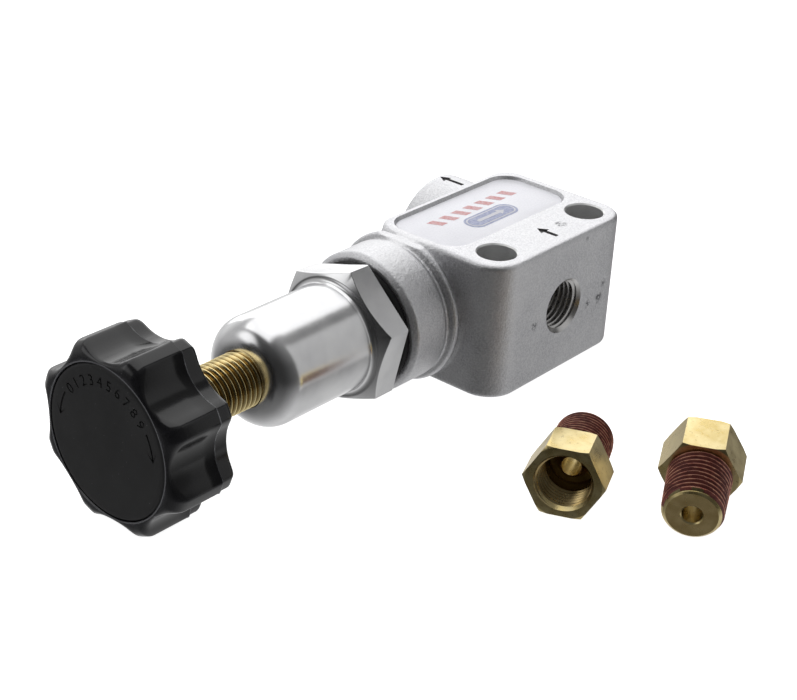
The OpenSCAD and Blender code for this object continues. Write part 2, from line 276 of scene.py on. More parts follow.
class Shader:
    """A procedural material under construction: node(...) adds a node, and link(...) joins two sockets."""

    def __init__(self, name):
        self.material = bpy.data.materials.new(name)
        self.material.use_nodes = True
        self.tree = self.material.node_tree
        self.surface = self.tree.nodes["Principled BSDF"]
        self.place = self.node("ShaderNodeTexCoord").outputs["Object"]

    def node(self, kind, **values):
        new = self.tree.nodes.new(kind)
        for key, value in values.items():
            setattr(new, key, value)
        return new

    def link(self, source, target):
        self.tree.links.new(source, target)

    def set(self, **values):
        for key, value in values.items():
            self.surface.inputs[key.replace("_", " ")].default_value = value
        return self

    def stretched(self, scale, offset):
        """Object coordinates in millimetres, scaled along each axis."""
        mapping = self.node("ShaderNodeMapping")
        mapping.inputs["Scale"].default_value = [s / MM for s in scale]
        mapping.inputs["Location"].default_value = offset
        self.link(self.place, mapping.inputs["Vector"])
        return mapping.outputs["Vector"]

    def noise(self, size, detail=2.0, offset=(0, 0, 0)):
        """Noise whose features are about size millimetres; size is one number or one for each axis."""
        sizes = size if isinstance(size, tuple) else (size,) * 3
        new = self.node("ShaderNodeTexNoise")
        new.inputs["Scale"].default_value = 1.0
        new.inputs["Detail"].default_value = detail
        new.inputs["Roughness"].default_value = 0.5
        self.link(self.stretched([1 / s for s in sizes], offset), new.inputs["Vector"])
        return new.outputs["Fac"]

    def ramp(self, source, low, high, start=0.0, end=1.0):
        """Maps source from low..high to start..end, clamped."""
        new = self.node("ShaderNodeMapRange")
        for name, value in zip(("From Min", "From Max", "To Min", "To Max"), (low, high, start, end)):
            new.inputs[name].default_value = value
        self.link(source, new.inputs["Value"])
        return new.outputs["Result"]

    def math(self, operation, a, b=0.0):
        new = self.node("ShaderNodeMath", operation=operation)
        for socket, value in zip(new.inputs, (a, b)):
            if isinstance(value, (int, float)):
                socket.default_value = value
            else:
                self.link(value, socket)
        return new.outputs[0]

    def mix(self, factor, a, b):
        """A colour between a and b; each is a colour or a socket."""
        new = self.node("ShaderNodeMix", data_type="RGBA")
        self.link(factor, new.inputs[0])
        for socket, value in ((new.inputs[6], a), (new.inputs[7], b)):
            if isinstance(value, tuple):
                socket.default_value = (*value, 1)
            else:
                self.link(value, socket)
        return new.outputs[2]

    def colour(self, source):
        self.link(source, self.surface.inputs["Base Color"])
        return self

    def roughness(self, source):
        self.link(source, self.surface.inputs["Roughness"])
        return self

    def bump(self, height, distance, strength=1.0):
        """Adds bump of distance millimetres on top of any bump already there."""
        new = self.node("ShaderNodeBump")
        new.inputs["Strength"].default_value = strength
        new.inputs["Distance"].default_value = distance * MM
        self.link(height, new.inputs["Height"])
        before = self.surface.inputs["Normal"].links
        if before:
            self.link(before[0].from_socket, new.inputs["Normal"])
        self.link(new.outputs["Normal"], self.surface.inputs["Normal"])
        return self

    def near(self, centre, reach, soft, wobble):
        """1 near a point and 0 past reach, both in millimetres, with a soft edge that wobble makes ragged."""
        gap = self.node("ShaderNodeVectorMath", operation="DISTANCE")
        self.link(self.place, gap.inputs[0])
        gap.inputs[1].default_value = [c * MM for c in centre]
        gap = self.math("ADD", gap.outputs["Value"], self.math("MULTIPLY", wobble, reach * MM))
        return self.ramp(gap, (reach - soft) * MM, (reach + soft) * MM, 1, 0)

    def from_axis(self):
        """Distance from the valve's axis in metres."""
        across = self.node("ShaderNodeVectorMath", operation="MULTIPLY")
        across.inputs[1].default_value = (0, 1, 1)
        self.link(self.place, across.inputs[0])
        gap = self.node("ShaderNodeVectorMath", operation="DISTANCE")
        gap.inputs[1].default_value = (0, AXIS_Y * MM, AXIS_Z * MM)
        self.link(across.outputs["Vector"], gap.inputs[0])
        return gap.outputs["Value"]

    def edges(self, low, high):
        """1 on convex edges and 0 elsewhere."""
        return self.ramp(self.node("ShaderNodeNewGeometry").outputs["Pointiness"], low, high)


def cast_aluminium():
    """Bead-blasted casting: fine bright grain, faint clouding and a few dark marks."""
    s = Shader("cast_aluminium").set(Metallic=0.97)
    grain = s.noise(0.3, 2)
    cloud = s.noise((9, 9, 7), 3)
    colour = s.mix(s.ramp(cloud, 0.35, 0.65), (0.55, 0.55, 0.57), (0.65, 0.65, 0.665))
    colour = s.mix(s.ramp(grain, 0.35, 0.65, 0, 0.6), colour, (0.82, 0.82, 0.83))
    ragged = s.noise(1.1, 4, (7, 3, 1))
    marks = [((INLET_X - 8.4, FRONT_Y, AXIS_Z - 0.9), 1.0), ((INLET_X + 7.5, FRONT_Y, AXIS_Z - 2.2), 0.8),
             ((INLET_X + 10.9, FRONT_Y, AXIS_Z - 2.0), 1.1), ((INLET_X + 12.0, FRONT_Y, AXIS_Z + 0.6), 0.8),
             ((INLET_X + 5.4, FRONT_Y, BLOCK_H - 1.3), 0.45), ((4.9, -0.6, BLOCK_H), 1.3)]
    dark = None
    for centre, reach in marks:
        spot = s.near(centre, reach * 1.5, 0.35, ragged)
        dark = spot if dark is None else s.math("MAXIMUM", dark, spot)
    colour = s.mix(s.math("MULTIPLY", dark, s.ramp(s.noise(0.5, 2), 0.42, 0.55)), colour, (0.2, 0.2, 0.21))
    s.colour(colour)
    s.roughness(s.ramp(cloud, 0.3, 0.7, 0.42, 0.52))
    s.bump(grain, 0.07, 1.0).bump(s.noise(0.8, 2, (4, 4, 4)), 0.09, 0.7)
    return s.material


def machined_aluminium():
    """Freshly cut metal in the ports, holes and chamfers, with fine tool lines."""
    s = Shader("machined_aluminium").set(Metallic=1.0)
    tone = s.noise(1.5, 2)
    s.colour(s.mix(tone, (0.54, 0.53, 0.52), (0.68, 0.67, 0.66)))
    s.roughness(s.ramp(tone, 0.3, 0.7, 0.24, 0.34))
    s.bump(s.noise(0.2, 2), 0.006, 0.4)
    return s.material


def drilled_aluminium():
    """The dull grey wall of the plain mounting holes."""
    s = Shader("drilled_aluminium").set(Metallic=0.85)
    lines = s.noise((0.8, 0.8, 0.12), 2)
    s.colour(s.mix(lines, (0.7, 0.7, 0.7), (0.88, 0.88, 0.88)))
    s.roughness(s.ramp(s.noise(2.0, 2), 0.3, 0.7, 0.36, 0.46))
    s.bump(lines, 0.008, 0.5)
    return s.material


def engraved_aluminium():
    """The dark floor of an engraved mark: painted shade in the recess."""
    s = Shader("engraved_aluminium").set(Metallic=0.6)
    floor_shade_noise = s.noise(0.5, 3)
    # Painted shade: the floor is dark, varied by noise that also sets its roughness.
    s.colour(s.mix(s.ramp(floor_shade_noise, 0.35, 0.7), (0.1, 0.1, 0.1), (0.34, 0.33, 0.33)))
    s.roughness(s.ramp(floor_shade_noise, 0.3, 0.7, 0.5, 0.75))
    return s.material


def turned_aluminium():
    """Satin turned metal: tool lines run round the axis, so they change only along X."""
    s = Shader("turned_aluminium").set(Metallic=1.0)
    lines = s.noise((0.05, 60, 60), 2)
    cloud = s.noise(5, 2)
    s.colour(s.mix(s.ramp(cloud, 0.35, 0.65), (0.72, 0.72, 0.73), (0.8, 0.8, 0.805)))
    s.roughness(s.ramp(cloud, 0.3, 0.7, 0.2, 0.25))
    s.bump(lines, 0.0016, 0.5).bump(s.noise(0.35, 2), 0.003, 0.5)
    return s.material


def screw_brass():
    """Golden brass thread: crests painted bright as a highlight and roots painted dark as shade."""
    s = Shader("brass").set(Metallic=1.0)
    r = screw_high[2] - AXIS_Z
    # Painted light: the colour runs from the shaded roots to the highlighted crests by distance from the axis.
    height = s.ramp(s.from_axis(), (r - 0.45) * MM, (r - 0.05) * MM)
    tarnish = s.noise(1.5, 3)
    root = s.mix(tarnish, (0.2, 0.11, 0.02), (0.34, 0.21, 0.045))
    crest = s.mix(tarnish, (0.93, 0.74, 0.34), (1.0, 0.86, 0.5))
    s.colour(s.mix(height, root, crest))
    s.roughness(s.ramp(tarnish, 0.3, 0.7, 0.16, 0.28))
    s.bump(s.noise((0.1, 3, 3), 2), 0.008, 0.5)
    return s.material


def adapter_brass():
    """Pale machined brass with a light tarnish and fine tool lines."""
    s = Shader("adapter_brass").set(Metallic=1.0)
    tarnish = s.noise(2.4, 4)
    spots = s.noise(0.5, 3, (5, 1, 8))
    colour = s.mix(s.ramp(tarnish, 0.35, 0.65), (0.6, 0.47, 0.2), (0.78, 0.66, 0.36))
    colour = s.mix(s.ramp(spots, 0.62, 0.72, 0, 0.5), colour, (0.3, 0.22, 0.1))
    s.colour(colour)
    s.roughness(s.ramp(tarnish, 0.3, 0.7, 0.24, 0.4))
    s.bump(s.noise(0.3, 3), 0.02, 0.6)
    return s.material


def thread_sealant(name, thick, thin):
    """Dry maroon sealant on the tapered threads, from its colour where thick to where rubbed thin."""
    s = Shader(name)
    blotch = s.noise(0.9, 3)
    s.colour(s.mix(s.ramp(blotch, 0.35, 0.7), thick, thin))
    s.roughness(s.ramp(blotch, 0.3, 0.7, 0.42, 0.6))
    s.bump(s.noise(0.25, 3), 0.04, 0.7)
    return s.material


def knob_plastic():
    """Semi-gloss black plastic with a pale parting line, chipped edges, lighter scuffed edges that are partly
    wear and partly painted highlight, a painted highlight ring round the cap's recess and a painted sheen on
    convex edges.
    """
    s = Shader("knob_plastic").set(Specular_IOR_Level=0.5)
    # Lighter scuffs on convex edges: partly wear, partly a painted highlight on the lobes' edges.
    scuff_and_highlight = s.math("MULTIPLY", s.edges(0.53, 0.6), s.ramp(s.noise((1.6, 0.6, 0.6), 4), 0.5, 0.62))
    along = s.node("ShaderNodeSeparateXYZ")
    s.link(s.place, along.inputs[0])
    off_line = s.math("ABSOLUTE", s.math("SUBTRACT", along.outputs["X"], (knob_high[0] - PARTING) * MM))
    line = s.ramp(off_line, 0.06 * MM, 0.16 * MM, 1, 0)
    line = s.math("MULTIPLY", line, s.ramp(s.noise((2, 2.5, 2.5), 3, (1, 5, 2)), 0.42, 0.62, 0.1, 1))
    # A painted highlight: a pale ring on the front face round the cap's recess.
    rim_r = cap_high[2] - AXIS_Z + 0.3
    off_rim = s.math("ABSOLUTE", s.math("SUBTRACT", s.from_axis(), rim_r * MM))
    front = s.ramp(along.outputs["X"], (knob_low[0] + 0.3) * MM, (knob_low[0] + 0.6) * MM, 1, 0)
    rim = s.math("MULTIPLY", s.ramp(off_rim, 0.04 * MM, 0.16 * MM, 0.45, 0), front)
    scuff_and_highlight = s.math("MAXIMUM", scuff_and_highlight, s.math("MAXIMUM", line, rim))
    chips = s.ramp(s.noise(0.45, 2, (3, 9, 4)), 0.74, 0.78)
    wear_and_highlight = s.math("MAXIMUM", scuff_and_highlight, s.math("MULTIPLY", chips, s.edges(0.5, 0.56)))
    tone = s.mix(s.ramp(s.noise(6, 2), 0.3, 0.7), (0.0022, 0.0022, 0.0026), (0.0035, 0.0035, 0.004))
    # A painted sheen: convex edges made lighter, without noise.
    tone = s.mix(s.edges(0.505, 0.56), tone, (0.02, 0.02, 0.023))
    s.colour(s.mix(wear_and_highlight, tone, (0.16, 0.16, 0.17)))
    s.roughness(s.ramp(s.noise(3.5, 3), 0.3, 0.7, 0.15, 0.21))
    s.bump(s.noise(0.5, 2), 0.01, 0.4)
    return s.material


def cap_plastic():
    """The knob's face disc: the same black with a finer, duller grain."""
    s = Shader("cap_plastic").set(Specular_IOR_Level=0.35)
    grain = s.noise(0.18, 2)
    tone = s.mix(s.ramp(s.noise(7, 3), 0.3, 0.7), (0.0095, 0.0095, 0.01), (0.013, 0.013, 0.0135))
    dust = s.ramp(s.noise(0.28, 1, (2, 2, 6)), 0.78, 0.8, 0, 0.6)
    s.colour(s.mix(dust, tone, (0.2, 0.2, 0.2)))
    s.roughness(s.ramp(s.noise(5, 3), 0.3, 0.7, 0.5, 0.6))
    s.bump(grain, 0.012, 0.6)
    return s.material


def rubber():
    """Matt black rubber."""
    s = Shader("rubber").set(Specular_IOR_Level=0.15)
    tone = s.noise(1.2, 3)
    s.colour(s.mix(tone, (0.004, 0.004, 0.004), (0.01, 0.01, 0.01)))
    s.roughness(s.ramp(tone, 0.3, 0.7, 0.5, 0.7))
    s.bump(s.noise(0.2, 2), 0.015, 0.5)
    return s.material


def label_film():
    """Pale lavender-silver printed film."""
    s = Shader("label_film").set(Metallic=0.25)
    speck = s.noise(0.35, 3)
    s.colour(s.mix(s.ramp(speck, 0.35, 0.65), (0.84, 0.84, 0.885), (0.9, 0.9, 0.945)))
    s.roughness(s.ramp(s.noise(4, 2), 0.3, 0.7, 0.38, 0.5))
    s.bump(speck, 0.006, 0.4)
    return s.material


def ink(name, thin, full):
    """Slightly worn print in one colour."""
    s = Shader(name)
    worn = s.noise(0.45, 4)
    s.colour(s.mix(s.ramp(worn, 0.35, 0.6), full, thin))
    s.roughness(s.ramp(worn, 0.3, 0.7, 0.4, 0.55))
    return s.material


def plain_metal(name, dark, light, rough, size=(0.15, 20, 20)):
    """A turned or drawn metal for the sockets and the pieces inside."""
    s = Shader(name).set(Metallic=1.0)
    lines = s.noise(size, 3)
    s.colour(s.mix(s.ramp(s.noise(2.5, 3), 0.35, 0.65), dark, light))
    s.roughness(s.ramp(lines, 0.3, 0.7, rough, rough + 0.12))
    s.bump(lines, 0.01, 0.5)
    return s.material


def white_polymer():
    """Waxy white plastic of the back-up ring."""
    s = Shader("white_polymer").set(Subsurface_Weight=0.1)
    tone = s.noise(1.5, 2)
    s.colour(s.mix(tone, (0.72, 0.71, 0.68), (0.82, 0.81, 0.78)))
    s.roughness(s.ramp(tone, 0.3, 0.7, 0.35, 0.5))
    return s.material


def studio_white(name, glow):
    """Plain pale floor that glows a little, as a lit table does."""
    s = Shader(name).set(Base_Color=(0.8, 0.8, 0.8, 1), Roughness=0.8, Emission_Color=(1, 1, 1, 1))
    s.set(Emission_Strength=glow)
    return s.material


CAST = cast_aluminium()
MACHINED = machined_aluminium()
ENGRAVED = engraved_aluminium()
TURNED = turned_aluminium()
BRASS = screw_brass()
ADAPTER_BRASS = adapter_brass()
SEALANT = thread_sealant("thread_sealant", (0.08, 0.013, 0.01), (0.15, 0.033, 0.022))
# The crests get a lighter copy of the sealant: a painted highlight along the thread's crests.
SEALANT_CREST_HIGHLIGHT = thread_sealant("thread_sealant_crest_highlight", (0.34, 0.1, 0.065), (0.52, 0.26, 0.16))
# The socket's wall is a darker copy of the adapter's brass: painted shade inside the socket. The same copy
# also colours the stud's end face.
SOCKET_BRASS = plain_metal("socket_brass", (0.5, 0.36, 0.15), (0.68, 0.52, 0.25), 0.22, 3)
SEAT_BRASS = plain_metal("seat_brass", (0.52, 0.3, 0.14), (0.68, 0.44, 0.24), 0.24, 2)
KNOB = knob_plastic()
CAP = cap_plastic()
RUBBER = rubber()
DRILLED = drilled_aluminium()


# ---------------------------------------------------------------------------------------------------------
# Valve body

PORT_R = 4.3
PORT_DEPTH = 8.5
PORT_PITCH = 0.94
PORT_TAPER = 0.031  # lost radius for each millimetre of depth
PORT_THREAD = 0.62
DRILL_R = 3.7
PASSAGE_R = 1.6
FRONT_R, BACK_R = 5.6, 4.0  # the block's upright corners
BACK_Y = AXIS_Y + 7.9
BOSS_R = 12.5
BOSS_CHAMFER = 0.8
COLLAR_R = 1.0
COLLAR_OUT = 2.0  # from the block's face to the middle of the collar
GROOVE_R = 0.5
GROOVE_STEP = 1.45
SPINE_R = 10.8
OUTLET_BOSS_R = 11.5
MARK_DEPTH = 0.4
POCKET_R = 4
BORE = ((BOSS_X - 1, 9.3), (-17.5, 9.3), (-17.5, 6.6), (4.9, 6.6), (4.9, 5.6), (13.5, 5.6))  # (x, radius)
VOXEL = 0.3


def soft_union(a, b, reach):
    """Joins two distance fields with a fillet of about reach."""
    h = np.clip(0.5 + 0.5 * (b - a) / reach, 0, 1)
    return b * (1 - h) + a * h - reach * h * (1 - h)


def drawn(across, along, edge):
    """The field of an outline drawn out to a length, with its rim rounded by edge."""
    across, along = across + edge, along + edge
    outside = np.hypot(np.maximum(across, 0), np.maximum(along, 0))
    return np.minimum(np.maximum(across, along), 0) + outside - edge


def body_field(x, y, z):
    """The casting's outer form: rounded block, bonnet boss with its collar, back spine and outlet boss."""
    middle = (FRONT_Y + BACK_Y) / 2
    corner = np.where(y < middle, FRONT_R, BACK_R)
    plan = drawn(np.abs(x) - BLOCK_HALF, np.abs(y - middle) - (BACK_Y - FRONT_Y) / 2, corner)
    rise = np.abs(z - BLOCK_H / 2) - BLOCK_H / 2
    block = drawn(plan, rise, 0.8)

    off_axis = np.hypot(y - AXIS_Y, z - AXIS_Z)
    boss_end = BOSS_X - x
    rim = (off_axis - BOSS_R + boss_end + BOSS_CHAMFER) / math.sqrt(2)
    boss = np.maximum(np.maximum(off_axis - BOSS_R, boss_end), rim)
    boss = np.maximum(boss, x)
    collar = np.hypot(off_axis - BOSS_R + 0.05, x + BLOCK_HALF + COLLAR_OUT) - COLLAR_R
    boss = soft_union(boss, collar, 0.4)
    for side in (-1, 1):
        groove = np.hypot(off_axis - BOSS_R - 0.2, x + BLOCK_HALF + COLLAR_OUT + side * GROOVE_STEP) - GROOVE_R
        boss = np.maximum(boss, -groove)
    spine = np.maximum(off_axis - SPINE_R, np.abs(x) - BLOCK_HALF + 2)

    off_outlet = np.hypot(x - OUTLET_X, z - AXIS_Z)
    outlet = drawn(off_outlet - OUTLET_BOSS_R, np.abs(y - AXIS_Y) - (OUTLET_Y - AXIS_Y), 0.5)
    outlet = np.maximum(outlet, AXIS_Y - y)

    field = soft_union(block, boss, 1.5)
    field = soft_union(field, spine, 1.0)
    field = soft_union(field, outlet, 1.4)
    return np.maximum(field, rise)


def port_cutter(x, face, way):
    """The tool that cuts a tapped, slightly tapered port with its mouth chamfer and its passage."""
    cut = threaded("port", 0.3, PORT_DEPTH, lambda row: PORT_R + 0.55 - row * PORT_TAPER, PORT_PITCH,
                   PORT_THREAD, MACHINED)
    combine(cut, turned("reach", [(0.2, 6), (PORT_DEPTH, 6)], MACHINED), "INTERSECT")
    mouth = [(-1, 6.05), (0, 5.05), (0.95, PORT_R - 0.2), (2, PORT_R - 0.2)]
    combine(cut, turned("mouth", mouth, MACHINED), "UNION")
    drill = [(2, DRILL_R), (PORT_DEPTH, DRILL_R), (PORT_DEPTH + 1.2, PASSAGE_R), (PORT_DEPTH + 6, PASSAGE_R)]
    combine(cut, turned("drill", drill, MACHINED), "UNION")
    return moved(cut, Matrix.Translation((x, face, AXIS_Z)) @ Matrix.Rotation(math.radians(90 * way), 4, "Z"))


def flow_arrow(length, width, stroke):
    """An arrow's outline that points along +Y, centred on the origin."""
    tip, neck, half = length / 2, length / 2 - width * 0.75, stroke / 2
    return [(half, -tip), (half, neck), (width / 2, neck), (0, tip), (-width / 2, neck), (-half, neck),
            (-half, -tip)]


def valve_body():
    """The casting, meshed from its field, with its holes, ports, bore, label pocket and engraved arrows."""
    pad = 1.2
    low, high = body_low - pad, body_high + pad
    x, y, z = np.meshgrid(*[np.arange(a, b, VOXEL) for a, b in zip(low, high)], indexing="ij", sparse=True)
    field = body_field(x, y, z).astype(np.float32)
    grid = openvdb.FloatGrid(pad)
    grid.copyFromArray(field)
    points, quads = grid.convertToQuads(0)
    body = outward(solid("valve_body_casting", points * VOXEL + low, quads.tolist(), CAST))

    for side in (-1, 1):
        r, rim = HOLE_R, 0.25
        hole = turned("hole", [(-1, r + rim + 1), (rim, r), (BLOCK_H - rim, r), (BLOCK_H + 1, r + rim + 1)],
                      DRILLED)
        combine(body, moved(hole, Matrix.Translation((side * HOLE_PITCH / 2, 0, 0))
                            @ Matrix.Rotation(math.radians(-90), 4, "Y")))
    combine(body, port_cutter(INLET_X, FRONT_Y, 1))
    combine(body, port_cutter(OUTLET_X, OUTLET_Y, -1))
    combine(body, on_axis(turned("bore", BORE, MACHINED)))

    gap, above = 0.15, 0.5
    draft = 0.5 * (BLOCK_H + above - label_low[2])
    pocket = rounded_box(label_low[:2] - gap, label_high[:2] + gap, POCKET_R)
    rim = rounded_box(label_low[:2] - gap - draft, label_high[:2] + gap + draft, POCKET_R + draft)
    combine(body, prism("pocket", pocket, label_low[2], BLOCK_H + above, CAST, rim))
    inlet_mark = prism("inlet_mark", flow_arrow(4.4, 2.4, 0.9), BLOCK_H - MARK_DEPTH, BLOCK_H + 1, ENGRAVED)
    combine(body, moved(inlet_mark, Matrix.Translation((INLET_X, -0.9, 0))))
    top = AXIS_Z + OUTLET_BOSS_R
    outlet_mark = prism("outlet_mark", flow_arrow(5.4, 2.4, 0.9), top - MARK_DEPTH, top + 1, ENGRAVED)
    combine(body, moved(outlet_mark, Matrix.Translation((OUTLET_X + 0.3, OUTLET_Y - 3.3, 0))))
    return finished(body, "housing", "cast_aluminium", "valve_body")


# ---------------------------------------------------------------------------------------------------------
# Label

BARS = 7
BAR_STEP = 3.3
BAR_Y = 15.3
PANEL_X, PANEL_Y = -0.3, 10.9


def label():
    """The film plate in its pocket, with a generic print: slanted bars and a flow arrow in a rounded panel."""
    top = label_high[2]
    plate = prism("label_plate_film", rounded_box(label_low[:2], label_high[:2], 3.85), label_low[2], top,
                  label_film())
    bevel(plate, 0.08)
    finished(plate, "housing", "label_film", "label_plate")

    red = ink("label_red_ink", (0.8, 0.5, 0.52), (0.72, 0.28, 0.28))
    blue = ink("label_blue_ink", (0.5, 0.53, 0.7), (0.3, 0.34, 0.56))
    height = 0.02

    def printed(name, outline, material, x, y, z=0):
        piece = prism(name, outline, top + 0.003 + z, top + height + z, material)
        finished(moved(piece, Matrix.Translation((x, y, 0))), "housing", "label_film")

    bar = [(-0.2, -1.25), (1.5, -1.25), (0.2, 1.25), (-1.5, 1.25)]
    for i in range(BARS):
        printed(f"label_bar_{i + 1}", bar, red, -9.9 + BAR_STEP * i, BAR_Y)
    film = bpy.data.materials["label_film"]
    arrow = [(y, x) for x, y in flow_arrow(7.4, 2.1, 0.8)]
    layers = (("label_panel_rim", rounded_box((-6.4, -2.2), (6.4, 2.2), 2.1), blue),
              ("label_panel_gap", rounded_box((-6.0, -1.8), (6.0, 1.8), 1.75), film),
              ("label_panel", rounded_box((-5.7, -1.5), (5.7, 1.5), 1.45), blue), ("label_arrow", arrow, film))
    for i, (name, outline, material) in enumerate(layers):
        printed(name, outline, material, PANEL_X, PANEL_Y, 0.02 * i)


# ---------------------------------------------------------------------------------------------------------
# Bonnet and its seal

BARREL_R = 9.5
BARREL_L = 21.1
DOME_R = 4.5
FOOT_R = 0.9  # fillet between the barrel and the hexagon
HEX_AF = 22.0
HEX_TURN = 42.6
HEX_SLOPE = 30
SHANK_R = 9.25
SPRING_ROOM_R = 7.4


def hexagon(name, across, low, high, material, chamfer_low, chamfer_high=None):
    """A hexagonal prism along X, its corners turned off at an end by a cone that starts at a radius."""
    corner = across / math.sqrt(3)
    prism_x = turned(name, [(low, corner), (high, corner)], material, 6)
    reach = corner + 1
    run = math.tan(math.radians(HEX_SLOPE))
    outline = [(low, chamfer_low), (low + (reach - chamfer_low) * run, reach), (high, reach)]
    if chamfer_high:
        outline[-1:] = [(high - (reach - chamfer_high) * run, reach), (high, chamfer_high)]
    return combine(prism_x, turned("cone", outline, material, 192), "INTERSECT")


def bonnet():
    """Hexagon, satin barrel with a domed edge, a small fillet where they meet, and the hidden shank."""
    nose = bonnet_low[0]
    barrel_end = nose + BARREL_L
    hexa = hexagon("bonnet_turned", HEX_AF, barrel_end, HEX_X, TURNED, chamfer_low=HEX_AF / 2 - 0.35)
    hexa.data.transform(Matrix.Rotation(math.radians(HEX_TURN), 4, "X"))
    bevel(hexa, 0.12, 25)
    dome = arc(nose + DOME_R, BARREL_R - DOME_R, DOME_R, 180, 90, 16)
    foot = arc(barrel_end - FOOT_R, BARREL_R + FOOT_R, FOOT_R, -90, 0, 9)
    outline = dome + foot + [(barrel_end + 1, BARREL_R + FOOT_R)]
    combine(hexa, turned("barrel", outline, TURNED, 160), "UNION")
    shank = [(HEX_X - 1, SHANK_R), (bonnet_high[0], SHANK_R)]
    combine(hexa, turned("shank", shank, TURNED, 160), "UNION")
    screw_r = screw_high[2] - AXIS_Z + 0.04
    mouth = [(nose - 1, screw_r + 1.1), (nose + 0.1, screw_r), (nose + 6, screw_r)]
    combine(hexa, turned("screw_hole", mouth, TURNED, 96))
    spring_room = [(nose + 5.5, SPRING_ROOM_R), (bonnet_high[0] + 1, SPRING_ROOM_R)]
    combine(hexa, turned("spring_room", spring_room, TURNED, 96))
    finished(on_axis(hexa), "housing", "turned_aluminium", "bonnet", angle=14)


def bonnet_seal():
    """The flat rubber washer squeezed between the hexagon and the boss, slightly barrelled."""
    r_in, r_out = 9.27, seal_high[2] - AXIS_Z + 0.4
    low, high = seal_low[0], seal_high[0]
    outline = [(low, r_in), (high, r_in), (high, r_out - 0.4), (high - 0.3, r_out - 0.08),
               ((low + high) / 2, r_out), (low + 0.3, r_out - 0.08), (low, r_out - 0.4)]
    seal = turned("bonnet_rubber_seal", outline, RUBBER, 128, wrap=True)
    finished(on_axis(seal), "housing", "black_rubber", "bonnet_seal", angle=60)


# ---------------------------------------------------------------------------------------------------------
# Adjuster: screw, knob and cap

SCREW_PITCH = 1.058
SCREW_THREAD = 0.6
SCREW_TIP_R = 3.2
CLIP_GROOVE_R = 2.4
BALL_POCKET_R = 2.05


def adjuster_screw():
    """The brass screw with a real helix where it shows, and its plain turned tip with the clip's groove."""
    r = screw_high[2] - AXIS_Z
    start, end = knob_high[0] - 1, screw_high[0] - 4.9
    screw = threaded("adjuster_screw_brass", start, end, r, SCREW_PITCH, SCREW_THREAD, BRASS, 128)
    trim = [(start, r - 0.5), (start + 0.01, r + 1), (end - 0.7, r + 0.1), (end, r - 0.6)]
    combine(screw, turned("trim", trim, BRASS, 128), "INTERSECT")
    combine(screw, turned("insert", [(screw_low[0], r), (start + 0.2, r)], BRASS, 128), "UNION")
    tip = [(end - 2, SCREW_TIP_R), (end + 0.7, SCREW_TIP_R), (end + 0.7, CLIP_GROOVE_R),
           (end + 1.5, CLIP_GROOVE_R), (end + 1.5, SCREW_TIP_R), (screw_high[0] - 0.3, SCREW_TIP_R),
           (screw_high[0], SCREW_TIP_R - 0.3)]
    combine(screw, turned("tip", tip, BRASS), "UNION")
    pocket = [(screw_high[0] - 1.2, BALL_POCKET_R), (screw_high[0] + 1, BALL_POCKET_R)]
    combine(screw, turned("pocket", pocket, BRASS, 48))
    finished(on_axis(screw), "adjuster", "brass", "adjuster_screw", angle=50)


KNOB_LOBES = 8
KNOB_TURN = 20.1
SCALLOP_R = 7.0
VALLEY_R = 13.3
TIP_R = 15.8
LOBE_BLEND = 1.1
MOULD_STEP = 0.22
CAP_SEAT = 1.2  # depth of the front recess that holds the cap
BACK_RECESS = 2.5
INSERT_DEPTH = 8.7


def knob_radius(angle):
    """The knob's outline in polar form: a disc with a round scallop between each pair of lobes."""
    pitch = 2 * math.pi / KNOB_LOBES
    from_valley = (angle - math.radians(KNOB_TURN)) % pitch - pitch / 2
    centre = VALLEY_R + SCALLOP_R
    under = SCALLOP_R ** 2 - (centre * np.sin(from_valley)) ** 2
    no_scallop = 99.0
    scallop = np.where(under > 0, centre * np.cos(from_valley) - np.sqrt(np.maximum(under, 0)), no_scallop)
    return soft_union(TIP_R, scallop, LOBE_BLEND)


